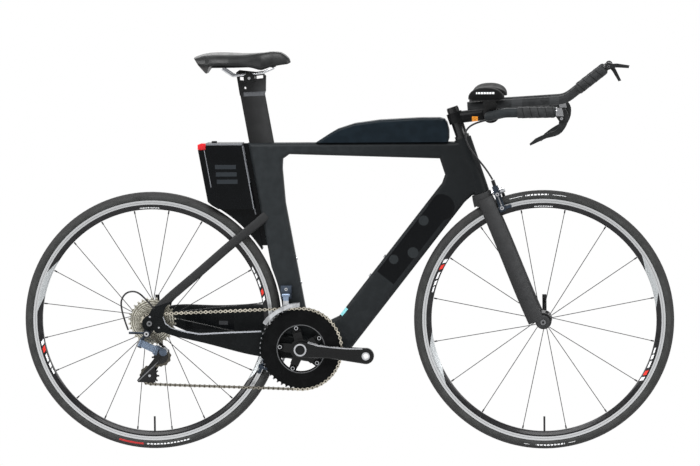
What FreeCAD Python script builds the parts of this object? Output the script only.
import FreeCAD, Part
import Sketcher
import math
import os

# Time trial bike, millimetres. X forward, Y to the rider's left, Z up.
# The origin is on the ground, midway between the axles.
# The drive side is at negative Y.

V = FreeCAD.Vector
doc = FreeCAD.newDocument("time_trial_bike")

SIZES = {
    # wheels
    "wheelbase": 1013.6,
    "tyre_radius": 335,
    "tyre_thick": 25,
    "tyre_wall": 2.4,
    "rim_edge_radius": 313,
    "rim_track_radius": 302,
    "rim_inner_radius": 289.5,
    "rim_width": 21,
    "rim_nose_width": 12,
    "spoke_radius": 1,
    "nipple_radius": 1.9,
    "nipple_length": 9,
    "front_spoke_count": 16,
    "rear_spoke_count": 20,
    "axle_radius": 4.5,
    "skewer_radius": 2.5,
    "hub_shell_radius": 11.5,
    "hub_flange_radius": 21,
    "hub_flange_thick": 3.2,
    "hub_bearing_radius": 9.5,
    "front_hub_width": 100,
    "front_flange_y": 35,
    "rear_hub_width": 130,
    "rear_left_flange_y": 36,
    "rear_right_flange_y": 15.5,
    "rear_flange_radius": 24,
    "front_spoke_lean": 12,
    "rear_short_lean": 32,
    "rear_long_lean": 66,
    # clearances
    "running_gap": 0.05,
    "seat_gap": 0.3,
    # bottom bracket and drive
    "bb_x": -118,
    "bb_z": 265.2,
    "bb_shell_radius": 25,
    "bb_shell_width": 86,
    "bb_bore_radius": 18.5,
    "cup_width": 7,
    "spindle_radius": 12,
    "crank_length": 170,
    "crank_angle": -5.5,
    "crank_boss_radius": 20.5,
    "crank_waist": 14.5,
    "crank_tip_radius": 20.6,
    "crank_bevel": 3,
    "crank_inner_y": 58,
    "crank_thick": 15,
    "pedal_hole_radius": 7.14,
    "chain_pitch": 12.7,
    "big_ring_teeth": 52,
    "small_ring_teeth": 36,
    "big_ring_y": 46.5,
    "ring_thick": 3,
    "spider_thick": 3.2,
    "bolt_circle_radius": 55,
    "ring_bolt_radius": 5,
    "cog_y": 59.5,
    "cog_spacing": 3.74,
    "cog_thick": 1.6,
    "freehub_radius": 15,
    "pulley_teeth": 11,
    "chain_width": 5.5,
    "roller_radius": 3.8,
    # steering
    "head_angle": 71.6,
    "crown_x": 347.8,
    "crown_z": 664,
    "steerer_radius": 14.3,
    "head_tube_radius": 22,
    "head_tube_length": 147,
    "headset_ring_radius": 18.5,
    "headset_ring_height": 9,
    "spacer_radius": 15.6,
    "spacer_height": 11.4,
    "stem_height": 27,
    "stem_reach": 91.45,
    "stem_rise": 9.65,
    "bar_clamp_radius": 15.9,
    "fork_blade_depth": 41,
    "fork_blade_angle": 23.3,
    # frame outline
    "frame_width": 38,
    "top_tube_z": 796,
    "top_tube_depth_rear": 30,
    "top_tube_depth_front": 43,
    "down_tube_depth": 76.5,
    "down_tube_angle": 51.9,
    "down_tube_x": 70.5,
    "seat_tube_depth": 68,
    "seat_tube_angle": 79.9,
    "seat_tube_x": -149,
    "wheel_gap_front": 11,
    "wheel_gap_rear": 6,
    "edge_round": 12,
    # seat
    "post_depth": 65,
    "post_width": 21,
    "post_angle": 80,
    "post_x": -220,
    "post_top": 926,
    "post_insert": 110,
    "clamp_x": -245.5,
    "clamp_z": 963.5,
    "rail_radius": 3.5,
    "rail_y": 22,
    "saddle_length": 243,
    "saddle_width": 134,
    "saddle_nose_width": 42,
    "saddle_tail_x": -384.5,
    "saddle_top": 1028,
    "saddle_under": 996,
    # boxes
    "storage_width": 54,
    "storage_top": 790,
    "lid_thick": 6,
    "rail_strip": 13,
    "box_width": 46,
    # cockpit
    "bar_half_width": 205,
    "bar_horn_x": 545,
    "bar_horn_z": 880,
    "bar_radius": 11.9,
    "grip_thick": 1.6,
    "extension_radius": 11.1,
    "extension_y": 58,
    "pad_y": 98,
    "pad_length": 84,
    "pad_width": 92,
    # brakes
    "front_brake_angle": 108.5,
    "rear_brake_angle": -22,
    "pad_gap": 1.6,
    "pad_radius": 306.5,
    "pad_height": 9,
    # rear mech
    "hanger_x": -514,
    "hanger_z": 308.5,
    "guide_x": -480,
    "guide_z": 248,
    "cage_length": 58,
    "mech_swing": 22,
}


class Size(float):
    """A number that remembers the spreadsheet expression it came from."""

    def __new__(cls, value, text):
        self = float.__new__(cls, value)
        self.text = text
        return self

    def __add__(self, other):
        return Size(float(self) + float(other), "(%s + %s)" % (self.text, text_of(other)))

    def __sub__(self, other):
        return Size(float(self) - float(other), "(%s - %s)" % (self.text, text_of(other)))

    def __mul__(self, other):
        return Size(float(self) * float(other), "(%s * %s)" % (self.text, text_of(other)))

    def __truediv__(self, other):
        return Size(float(self) / float(other), "(%s / %s)" % (self.text, text_of(other)))

    def __radd__(self, other):
        return Size(float(other) + float(self), "(%s + %s)" % (text_of(other), self.text))

    def __rsub__(self, other):
        return Size(float(other) - float(self), "(%s - %s)" % (text_of(other), self.text))

    def __rmul__(self, other):
        return Size(float(other) * float(self), "(%s * %s)" % (text_of(other), self.text))

    def __neg__(self):
        return Size(-float(self), "(0 - %s)" % self.text)


def text_of(number):
    if isinstance(number, Size):
        return number.text
    return repr(float(number))


class Sheet:
    """The driving dimensions, read by name."""


S = Sheet()
sheet = doc.addObject("Spreadsheet::Sheet", "Sizes")
for row, (name, value) in enumerate(SIZES.items(), 1):
    sheet.set("A%d" % row, name)
    sheet.set("B%d" % row, str(value))
    sheet.setAlias("B%d" % row, name)
    setattr(S, name, Size(value, "Sizes." + name))
doc.recompute()

REAR_X = -S.wheelbase / 2
FRONT_X = S.wheelbase / 2
AXLE_Z = S.tyre_radius
NODES = []


# Helpers that make document objects

def keep(obj, label):
    """Name a finished piece and put it on the list of files to write."""
    obj.Label = label
    NODES.append(obj)
    return obj


def bind(obj, prop, number):
    if isinstance(number, Size):
        obj.setExpression(prop, number.text)
        return
    setattr(obj, prop, number)


def place(obj, x, y, z, rotation=None):
    obj.Placement = FreeCAD.Placement(V(x, y, z), rotation or FreeCAD.Rotation())
    for axis, number in zip("xyz", (x, y, z)):
        if isinstance(number, Size):
            obj.setExpression("Placement.Base." + axis, number.text)


def new_sketch(body, role):
    sketch = body.newObject("Sketcher::SketchObject", "Sketch")
    plane = [f for f in body.Origin.OriginFeatures if f.Role == role][0]
    sketch.AttachmentSupport = [(plane, "")]
    sketch.MapMode = "FlatFace"
    return sketch


def constrain(sketch, kind, refs, number):
    index = sketch.addConstraint(Sketcher.Constraint(kind, *refs, float(number)))
    if isinstance(number, Size):
        sketch.setExpression("Constraints[%d]" % index, number.text)


def pin_point(sketch, geo, pos, x, y):
    constrain(sketch, "DistanceX", (-1, 1, geo, pos), x)
    constrain(sketch, "DistanceY", (-1, 1, geo, pos), y)


def draw_outline(sketch, points):
    first = sketch.GeometryCount
    count = len(points)
    corners = [V(float(x), float(y), 0) for x, y in points]
    lines = [Part.LineSegment(corners[i], corners[(i + 1) % count]) for i in range(count)]
    sketch.addGeometry(lines, False)
    for i in range(count):
        sketch.addConstraint(Sketcher.Constraint("Coincident", first + i, 2, first + (i + 1) % count, 1))
    for i, (x, y) in enumerate(points):
        pin_point(sketch, first + i, 1, x, y)


def draw_circle(sketch, x, y, radius):
    geo = sketch.addGeometry(Part.Circle(V(float(x), float(y), 0), V(0, 0, 1), float(radius)), False)
    pin_point(sketch, geo, 3, x, y)
    constrain(sketch, "Radius", (geo,), radius)


def turned(name, profile, x=0, z=0, holes=()):
    """A body of revolution about an axis along Y, from (radius, y) corners."""
    body = doc.addObject("PartDesign::Body", name)
    sketch = new_sketch(body, "XY_Plane")
    if profile:
        draw_outline(sketch, profile)
    for circle in holes:
        draw_circle(sketch, *circle)
    feature = body.newObject("PartDesign::Revolution", "Revolution")
    feature.Profile = (sketch, [""])
    feature.ReferenceAxis = (sketch, ["V_Axis"])
    feature.Angle = 360
    body.Tip = feature
    place(body, x, 0, z)
    return body


def padded(name, role, outlines, circles, length, base=(0, 0, 0)):
    """A flat plate from sketch outlines, its thickness shared to both sides of the plane."""
    body = doc.addObject("PartDesign::Body", name)
    sketch = new_sketch(body, role)
    for points in outlines:
        draw_outline(sketch, points)
    for circle in circles:
        draw_circle(sketch, *circle)
    feature = body.newObject("PartDesign::Pad", "Pad")
    feature.Profile = (sketch, [""])
    bind(feature, "Length", length)
    feature.SideType = "Symmetric"
    body.Tip = feature
    place(body, *base)
    return body


def rounded(obj, radius, test):
    """Round those edges of a body that pass the test."""
    doc.recompute()
    picked = [i for i, edge in enumerate(obj.Shape.Edges, 1) if test(edge)]
    result = doc.addObject("Part::Fillet", obj.Name + "_rounded")
    result.Base = obj
    result.Edges = [(i, float(radius), float(radius)) for i in picked]
    return result


def rod(name, radius, x, y, z, length, axis=V(0, 1, 0)):
    """A cylinder that starts at a point and runs along an axis."""
    obj = doc.addObject("Part::Cylinder", name)
    bind(obj, "Radius", radius)
    bind(obj, "Height", length)
    place(obj, x, y, z, FreeCAD.Rotation(V(0, 0, 1), axis))
    return obj


def fuse(name, parts):
    obj = doc.addObject("Part::MultiFuse", name)
    obj.Shapes = parts
    return obj


def cut(name, base, tools):
    tool = tools[0] if len(tools) == 1 else fuse(name + "_tools", tools)
    obj = doc.addObject("Part::Cut", name)
    obj.Base = base
    obj.Tool = tool
    return obj


def group(name, parts):
    obj = doc.addObject("Part::Compound", name)
    obj.Links = parts
    return obj


def feature(name, shape):
    obj = doc.addObject("Part::Feature", name)
    obj.Shape = shape
    return obj


# Shapes that only Part's own functions make

def slot_wire(centre, along, across, depth, width):
    """A slot outline: straight sides and half round ends, depth along one way, width across."""
    half = depth / 2.0 - width / 2.0
    radius = width / 2.0
    a, b = along * half, across * radius
    tip = along * (half + radius)
    p1, p2 = centre - a - b, centre + a - b
    p3, p4 = centre + a + b, centre - a + b
    edges = [
        Part.makeLine(p1, p2),
        Part.Arc(p2, centre + tip, p3).toShape(),
        Part.makeLine(p3, p4),
        Part.Arc(p4, centre - tip, p1).toShape(),
    ]
    return Part.Wire(edges)


def blade(stations):
    """A lofted tube through slot sections: (x, y, z, slope, depth, width), slope in degrees in side view."""
    wires = []
    for x, y, z, slope, depth, width in stations:
        turn = math.radians(slope)
        along = V(-math.sin(turn), 0, math.cos(turn))
        wires.append(slot_wire(V(x, y, z), along, V(0, 1, 0), depth, width))
    return loft(wires, len(wires) == 2)


def loft(wires, ruled=False):
    """A solid through closed wires, with its faces turned outward."""
    solid = Part.makeLoft(wires, True, ruled)
    if solid.Volume < 0:
        solid.reverse()
    return solid


def round_path(points, radius):
    """A wire of straight runs joined by tangent arcs."""
    points = [V(*p) for p in points]
    edges = []
    start = points[0]
    for before, corner, after in zip(points, points[1:], points[2:]):
        a = (before - corner).normalize()
        b = (after - corner).normalize()
        half = a.getAngle(b) / 2
        reach = radius / math.tan(half)
        middle = (a + b).normalize()
        first = corner + a * reach
        last = corner + b * reach
        top = corner + middle * (radius / math.sin(half) - radius)
        edges.append(Part.makeLine(start, first))
        edges.append(Part.Arc(first, top, last).toShape())
        start = last
    edges.append(Part.makeLine(start, points[-1]))
    return Part.Wire(edges)


def pipe(points, bend, radius):
    """A round bar along a path of straight runs and arcs."""
    start = V(*points[0])
    heading = V(*points[1]) - start
    ring = Part.Wire([Part.makeCircle(radius, start, heading)])
    return round_path(points, bend).makePipeShell([ring], True, True)


def both_sides(shape):
    """The piece and its mirror image across the mid-plane."""
    return [shape, shape.mirror(V(0, 0, 0), V(0, 1, 0))]


def pitch_radius(teeth):
    return S.chain_pitch / 2 / math.sin(math.pi / teeth)


def toothed_plate(teeth, thick, bore, phase):
    """A sprocket plate in the XZ plane: seats for the rollers and a short tooth between each pair."""
    radius = float(pitch_radius(teeth))
    step = 2 * math.pi / teeth
    tip = radius + 2
    seat = float(S.roller_radius) + 0.3
    root = radius - seat
    edges = []

    def at(r, angle):
        return V(r * math.cos(angle), 0, r * math.sin(angle))

    opening = (seat + 0.12) / radius
    for i in range(int(teeth)):
        middle = phase + i * step
        left, right = middle - opening, middle + opening
        tip_left = middle + step / 2 - 0.16 * step
        tip_right = middle + step / 2 + 0.16 * step
        following = middle + step - opening
        edges.append(Part.Arc(at(radius, left), at(root, middle), at(radius, right)).toShape())
        edges.append(Part.makeLine(at(radius, right), at(tip, tip_left)))
        edges.append(Part.makeLine(at(tip, tip_left), at(tip, tip_right)))
        edges.append(Part.makeLine(at(tip, tip_right), at(radius, following)))
    face = Part.Face(Part.Wire(edges))
    plate = face.extrude(V(0, float(thick), 0))
    plate.translate(V(0, -float(thick) / 2, 0))
    hole = Part.makeCylinder(float(bore), float(thick) + 2, V(0, -float(thick) / 2 - 1, 0), V(0, 1, 0))
    return plate.cut(hole)


# Wheels

def wheel(side, x, flanges, count, hub_parts):
    """Rim, tyre and spokes; the hub pieces differ from front to rear."""
    tube = S.tyre_thick / 2
    tube_centre = S.tyre_radius - tube
    half = S.rim_width / 2
    nose = S.rim_nose_width / 2
    rim = turned(side + "_rim_ring", [
        (S.rim_edge_radius, -half), (S.rim_edge_radius, half), (S.rim_track_radius, half),
        (S.rim_track_radius - 3, half - 1), (S.rim_inner_radius + 3, nose), (S.rim_inner_radius, nose - 2.5),
        (S.rim_inner_radius, 2.5 - nose), (S.rim_inner_radius + 3, -nose),
        (S.rim_track_radius - 3, 1 - half), (S.rim_track_radius, -half)], x, AXLE_Z)
    bed = doc.addObject("Part::Torus", side + "_rim_bed")
    bind(bed, "Radius1", tube_centre)
    bind(bed, "Radius2", tube + S.running_gap)
    place(bed, x, 0, AXLE_Z, FreeCAD.Rotation(V(1, 0, 0), 90))
    keep(cut(side + "_rim", rim, [bed]), side + "_rim")
    tyre = turned(side + "_tyre", [], x, AXLE_Z,
                  [(tube_centre, 0, tube), (tube_centre, 0, tube - S.tyre_wall)])
    keep(tyre, side + "_tyre")
    keep(feature(side + "_spokes", Part.makeCompound(spokes(x, flanges, count))), side + "_spokes")
    keep(group(side + "_hub", hub_parts), side + "_hub")


def spokes(x, flanges, count):
    """Spokes from the hub flanges to nipples at the rim, and the valve at the bottom."""
    centre = V(x, 0, AXLE_Z)
    step = 2 * math.pi / count
    out = []
    for i in range(int(count)):
        side, radius, lean = flanges[i % len(flanges)]
        angle = math.pi / 2 + step * (i + 0.5)
        hub_angle = angle + math.radians(lean)
        start = centre + V(radius * math.cos(hub_angle), side, radius * math.sin(hub_angle))
        rim_radius = S.rim_inner_radius - S.seat_gap
        rim_point = centre + V(rim_radius * math.cos(angle), 0, rim_radius * math.sin(angle))
        run = rim_point - start
        way = V(run).normalize()
        nipple_start = rim_point - way * float(S.nipple_length)
        out.append(Part.makeCylinder(S.spoke_radius, (nipple_start - start).Length - 0.05, start, way))
        out.append(Part.makeCylinder(S.nipple_radius, S.nipple_length - 0.8, nipple_start, way))
    valve = V(x, 0, AXLE_Z - S.rim_inner_radius + S.seat_gap)
    out.append(Part.makeCylinder(2.6, 38, valve, V(0, 0, 1)))
    return out


def hub_bearing(name, x, y, width):
    return turned(name, [(S.axle_radius + S.running_gap, y - width / 2),
                         (S.hub_bearing_radius, y - width / 2),
                         (S.hub_bearing_radius, y + width / 2),
                         (S.axle_radius + S.running_gap, y + width / 2)],
                  x, AXLE_Z)


def hub(side, x, left_y, left_radius, right_y, right_radius, left_end, right_end):
    """Shell with two flanges, bored for the axle, and a bearing in each end."""
    seat = S.hub_bearing_radius + S.running_gap
    flange = S.hub_flange_thick / 2
    body = S.hub_shell_radius
    depth = 7
    bore = S.axle_radius + 1
    shell = turned(side + "_hub_shell", [
        (bore, -right_end + depth), (seat, -right_end + depth), (seat, -right_end),
        (body + 1, -right_end), (body + 1, -right_y - flange - 2), (right_radius, -right_y - flange),
        (right_radius, flange - right_y), (body, 6 + flange - right_y),
        (body, left_y - flange - 6), (left_radius, left_y - flange), (left_radius, left_y + flange),
        (body + 1, left_y + flange + 2), (body + 1, left_end), (seat, left_end), (seat, left_end - depth),
        (bore, left_end - depth)], x, AXLE_Z)
    right = hub_bearing(side + "_hub_bearing_right", x, -right_end + depth / 2, depth - 0.1)
    left = hub_bearing(side + "_hub_bearing_left", x, left_end - depth / 2, depth - 0.1)
    return [shell, right, left]


def skewer(side, x, hub_width, drop):
    """Hollow axle, skewer rod, nut on the drive side and cam head on the far side."""
    half = hub_width / 2
    tube = turned(side + "_axle", [
        (S.skewer_radius + S.running_gap, -half - drop + 1), (S.axle_radius, -half - drop + 1),
        (S.axle_radius, 0.05 - half), (S.axle_radius + 3.5, 0.05 - half), (S.axle_radius + 3.5, 2.5 - half),
        (S.axle_radius, 2.5 - half), (S.axle_radius, half - 2.5), (S.axle_radius + 3.5, half - 2.5),
        (S.axle_radius + 3.5, half - 0.05), (S.axle_radius, half - 0.05), (S.axle_radius, half + drop - 1),
        (S.skewer_radius + S.running_gap, half + drop - 1)], x, AXLE_Z)
    head = half + drop + 0.1
    bar = turned(side + "_rod", [
        (0, -head - 8), (7, -head - 8), (7.6, -head), (S.skewer_radius, -head), (S.skewer_radius, head),
        (8.5, head), (8.5, head + 6), (4.8, head + 6), (4.8, head + 9), (0, head + 9)], x, AXLE_Z)
    keep(group(side + "_skewer", [tube, bar]), side + "_skewer")
    pivot_y = head + 15.5
    eye = rod(side + "_lever_eye", 6, x - 6, pivot_y, AXLE_Z, 12, V(1, 0, 0))
    arm = padded(side + "_lever_arm", "YZ_Plane",
                 [[(-3, 3), (3, 3), (5, 34), (3, 58), (-1, 58), (0.5, 34)]], [], 11,
                 (x, pivot_y, AXLE_Z))
    keep(fuse(side + "_skewer_lever", [eye, arm]), side + "_skewer_lever")


FORK_DROP = 9
STAY_DROP = 8

front_seat = S.hub_flange_radius + 0.7
front_flanges = [(side * S.front_flange_y, front_seat, lean * S.front_spoke_lean)
                 for side, lean in ((-1, 1), (1, -1), (-1, -1), (1, 1))]
front_end = S.front_hub_width / 2 - 3
wheel("front", FRONT_X, front_flanges, S.front_spoke_count,
      hub("front", FRONT_X, S.front_flange_y, S.hub_flange_radius, S.front_flange_y, S.hub_flange_radius,
          front_end, front_end))
inside = S.hub_flange_thick / 2 + S.spoke_radius + S.seat_gap
outside = inside + 1.6
rear_seat = S.rear_flange_radius - 2
rear_flanges = [
    (inside - S.rear_right_flange_y, rear_seat, -S.rear_short_lean),
    (S.rear_left_flange_y + outside, rear_seat, -S.rear_long_lean),
    (-S.rear_right_flange_y - outside, rear_seat, S.rear_long_lean),
    (S.rear_left_flange_y - inside, rear_seat, S.rear_short_lean)]
wheel("rear", REAR_X, rear_flanges, S.rear_spoke_count,
      hub("rear", REAR_X, S.rear_left_flange_y, S.rear_flange_radius - 1.5, S.rear_right_flange_y,
          S.rear_flange_radius - 1.5, S.rear_hub_width / 2 - 3, S.rear_right_flange_y + 5))
skewer("front", FRONT_X, S.front_hub_width, FORK_DROP)
skewer("rear", REAR_X, S.rear_hub_width, STAY_DROP)


# Main frame

def at_height(x, z, angle, height):
    """Where a line through a point at an angle reaches a height."""
    return x + (height - z) * (1 / math.tan(math.radians(angle)))


STEER_UP = V(-math.cos(math.radians(S.head_angle)), 0, math.sin(math.radians(S.head_angle)))
STEER_FORE = V(math.sin(math.radians(S.head_angle)), 0, math.cos(math.radians(S.head_angle)))
CROWN = V(S.crown_x, 0, S.crown_z)


def steer_point(up, fore=0, y=0):
    return CROWN + STEER_UP * float(up) + STEER_FORE * float(fore) + V(0, float(y), 0)


def steer_rod(name, radius, up, length):
    """A cylinder on the steering axis, from a height above the crown."""
    turn = math.radians(float(S.head_angle))
    return rod(name, radius, S.crown_x - up * math.cos(turn), 0, S.crown_z + up * math.sin(turn), length,
               STEER_UP)


MID_Z = 402.3


def down_edge(z, side):
    """The down tube's upper edge (side -1) or lower edge (side 1) at a height."""
    reach = S.down_tube_depth / 2 / math.sin(math.radians(S.down_tube_angle))
    return at_height(S.down_tube_x + reach * side, MID_Z, S.down_tube_angle, z)


def seat_front(z):
    return at_height(S.seat_tube_x + S.seat_tube_depth / 2, MID_Z, 180 - S.seat_tube_angle, z)


def seat_rear(z):
    return at_height(S.seat_tube_x - S.seat_tube_depth / 2, MID_Z, 180 - S.seat_tube_angle, z)


def frame_outlines():
    """Side view of the front triangle: its outer edge and the opening inside it."""
    front_top = steer_point(S.head_tube_length - 6, S.head_tube_radius - 4)
    front_low = steer_point(5, S.head_tube_radius - 4)
    low_rear = steer_point(1, -24)
    top = S.top_tube_z
    under_rear = top - S.top_tube_depth_rear
    under_front = top - S.top_tube_depth_front
    outer = [
        (seat_rear(top), top), (steer_point(S.head_tube_length - 4, -22).x, top),
        (front_top.x, front_top.z), (front_low.x, front_low.z), (low_rear.x, low_rear.z),
        (down_edge(640, 1), 640), (down_edge(262, 1), 262),
        (S.bb_x + 88, S.bb_z - 44), (S.bb_x + 30, S.bb_z - 40), (S.bb_x - 45, S.bb_z - 28),
        (S.bb_x - 60, S.bb_z + 30), (seat_rear(470), 470)]
    inner = [
        (seat_front(under_rear - 36) + 9, under_rear - 36), (seat_front(under_rear) + 17, under_rear - 12),
        (seat_front(under_rear) + 34, under_rear), (at_height(258, 704, 108, under_front), under_front),
        (at_height(258, 704, 108, 712), 712), (down_edge(690, -1), 690),
        (down_edge(346, -1), 346), (down_edge(334, -1) - 16, 334),
        (seat_front(345) + 14, 334), (seat_front(352), 352), (seat_front(640), 640)]
    return outer, inner


def main_frame():
    outer, inner = frame_outlines()
    plate = padded("frame_plate", "XZ_Plane", [outer, inner], [], S.frame_width)
    half = float(S.frame_width) / 2

    def side_edge(edge):
        box = edge.BoundBox
        return abs(abs(box.YMin) - half) < 0.01 and box.YLength < 0.01

    plate = rounded(plate, S.edge_round, side_edge)
    head = steer_rod("head_tube", S.head_tube_radius, 1, S.head_tube_length)
    shell = rod("bb_shell", S.bb_shell_radius, S.bb_x, -S.bb_shell_width / 2, S.bb_z, S.bb_shell_width)
    solid = fuse("frame_solid", [plate, head, shell])
    front_room = rod("front_room", S.tyre_radius + S.wheel_gap_front, FRONT_X, -60, AXLE_Z, 120)
    rear_room = rod("rear_room", S.tyre_radius + S.wheel_gap_rear, REAR_X, -60, AXLE_Z, 120)
    steerer_bore = steer_rod("steerer_bore", S.steerer_radius + 1.5, -10, S.head_tube_length + 30)
    ring_seat = S.headset_ring_radius + S.running_gap
    low_seat = steer_rod("low_seat", ring_seat, 0, S.headset_ring_height + 1)
    high_seat = steer_rod("high_seat", ring_seat, S.head_tube_length + 1 - S.headset_ring_height,
                          S.headset_ring_height + 1)
    bb_bore = rod("bb_bore", S.bb_bore_radius, S.bb_x, -60, S.bb_z, 120)
    socket = feature("post_socket", post_blade(S.top_tube_z - S.post_insert - 1, S.top_tube_z + 40,
                                               S.seat_gap))
    bolts = [rod("bottle_hole", 2.5 + S.running_gap, *bolt_point(spot, -14), 30, bolt_way(spot[2]))
             for spot in bottle_spots()]
    brake_hole = feature("brake_hole", brake_bolt("rear", 0.05))
    tools = [front_room, rear_room, steerer_bore, low_seat, high_seat, bb_bore, socket, brake_hole]
    return cut("main_frame", solid, tools + bolts)


def post_blade(low, high, gap):
    """The aero seat post between two heights, grown by a gap for its socket."""
    wires = []
    for z in (float(low), float(high)):
        x = at_height(S.post_x, 808, 180 - S.post_angle, z)
        wires.append(slot_wire(V(x, 0, z), V(1, 0, 0), V(0, 1, 0), S.post_depth + 2 * gap,
                               S.post_width + 2 * gap))
    return loft(wires, True)


def bottle_spots():
    """Bolt places on the tubes inside the triangle: x, z and the way the head faces."""
    seat_way = 90 - S.seat_tube_angle
    down_way = S.down_tube_angle + 90
    return [(seat_front(496), 496, seat_way), (seat_front(434), 434, seat_way),
            (down_edge(500, -1), 500, down_way), (down_edge(451, -1), 451, down_way)]


def bolt_way(angle):
    turn = math.radians(angle)
    return V(math.cos(turn), 0, math.sin(turn))


def bolt_point(spot, out):
    way = bolt_way(spot[2])
    return spot[0] + way.x * out, 0, spot[1] + way.z * out


# Brakes: built in the wheel's own directions, outward from the axle and along the rim

# Wheel axle, angle, reach of the bolt, shift of the arms along it and thickness of the near arm
BRAKES = {
    "front": (FRONT_X, S.front_brake_angle, 42, -7.5, 15),
    "rear": (REAR_X, S.rear_brake_angle, 58, 0, 8),
}
FAR_ARM_THICK = 8
PIVOT_RADIUS = 352
CALIPER_HEADS = (309, 346)


def brake_frame(side):
    axle_x, angle, reach = BRAKES[side][:3]
    turn = math.radians(angle)
    outward = V(math.cos(turn), 0, math.sin(turn))
    along = V(math.sin(turn), 0, -math.cos(turn))
    return V(axle_x, 0, AXLE_Z), outward, along, reach


def brake_point(side, y, radius, t):
    centre, outward, along, reach = brake_frame(side)
    return centre + outward * float(radius) + along * float(t) + V(0, float(y), 0)


def brake_bolt(side, gap=0.0):
    reach, shift = BRAKES[side][2:4]
    start = brake_point(side, 0, PIVOT_RADIUS, -reach - 4 * gap)
    return Part.makeCylinder(4 + gap, reach + shift + 20, start, brake_frame(side)[2])


def brake_plate(side, outline, t, thick):
    corners = [brake_point(side, y, r, t) for y, r in outline]
    face = Part.Face(Part.makePolygon(corners + corners[:1]))
    return face.extrude(brake_frame(side)[2] * thick)


def brake_arm(side, hand, t, thick, cable):
    """One caliper arm with its eye on the centre bolt and a pad holder beside the rim."""
    along = brake_frame(side)[2]
    back = S.rim_width / 2 + S.pad_gap + 6.6
    outline = [(3, 343), (12, 342.5), (17, 333), (back, 318), (back, 299), (back + 7, 299), (back + 8, 318),
               (back + 6, 338), (back - 1, 352), (4, 360)]
    if cable:
        outline[-2:] = [(back + 4, 352), (back + 4, 368), (back - 6, 368), (back - 9, 356), (4, 360)]
    arm = brake_plate(side, [(y * hand, r) for y, r in outline], t, thick)
    eye = Part.makeCylinder(9, thick, brake_point(side, 0, PIVOT_RADIUS, t), along)
    arm = arm.fuse(eye)
    if cable:
        start = brake_point(side, hand * (back - 1), 368, t + thick / 2)
        arm = arm.fuse(Part.makeCylinder(4.7, 16, start, brake_frame(side)[1]))
        heads = [brake_point(side, hand * (back + 2), r, t + thick / 2) for r in CALIPER_HEADS]
        arm = arm.fuse([Part.makeCylinder(4.6, 8, head, V(0, hand, 0)) for head in heads])
    arm = arm.cut(Part.makeCylinder(4.05, thick + 4, brake_point(side, 0, PIVOT_RADIUS, t - 2), along))
    face = S.rim_width / 2 + S.pad_gap
    low, high = S.pad_radius - S.pad_height / 2, S.pad_radius + S.pad_height / 2
    pad = brake_plate(side, [(y * hand, r) for y, r in
                             [(face, low), (back - 0.2, low + 1), (back - 0.2, high - 1), (face, high)]],
                      BRAKES[side][3] - 24, 48)
    return Part.makeCompound([arm.removeSplitter(), pad])


def brake(side):
    bolt = brake_bolt(side)
    shift, thick = BRAKES[side][3:]
    near = shift + FAR_ARM_THICK - thick
    far = shift + FAR_ARM_THICK + 0.5
    nut = Part.makeCylinder(7, 4, brake_point(side, 0, PIVOT_RADIUS, far + 8.7), brake_frame(side)[2])
    spacer = Part.makeCylinder(7, 3, brake_point(side, 0, PIVOT_RADIUS, near - 3.4), brake_frame(side)[2])
    keep(feature(side + "_brake_mount", bolt.fuse([nut, spacer])), side + "_brake_mount")
    keep(feature(side + "_brake_arm_right", brake_arm(side, -1, near, thick, side == "front")),
         side + "_brake_arm_right")
    keep(feature(side + "_brake_arm_left", brake_arm(side, 1, far, FAR_ARM_THICK, False)),
         side + "_brake_arm_left")


frame = keep(main_frame(), "main_frame")
brake("front")
brake("rear")


# Rear stays, hanger, bearings and bolts

# Dropout outline and its two screws, measured from the rear axle
DROPOUT = [(9, 42), (-4.2, 19.5), (-11.2, 3), (-2.2, -10), (12.8, -20), (17.8, -27), (42.8, -21), (56.3, -13),
           (40.8, 1), (34.8, 19.5), (40.8, 40), (56.3, 56)]
SCREW_SPOTS = [(0.8, 17), (23.8, -11)]
SCREW_RADIUS = 2.4


def screw_rod(spot, y, radius, length):
    return Part.makeCylinder(float(radius), float(length), V(REAR_X + spot[0], y, AXLE_Z + spot[1]),
                             V(0, 1, 0))


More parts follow.
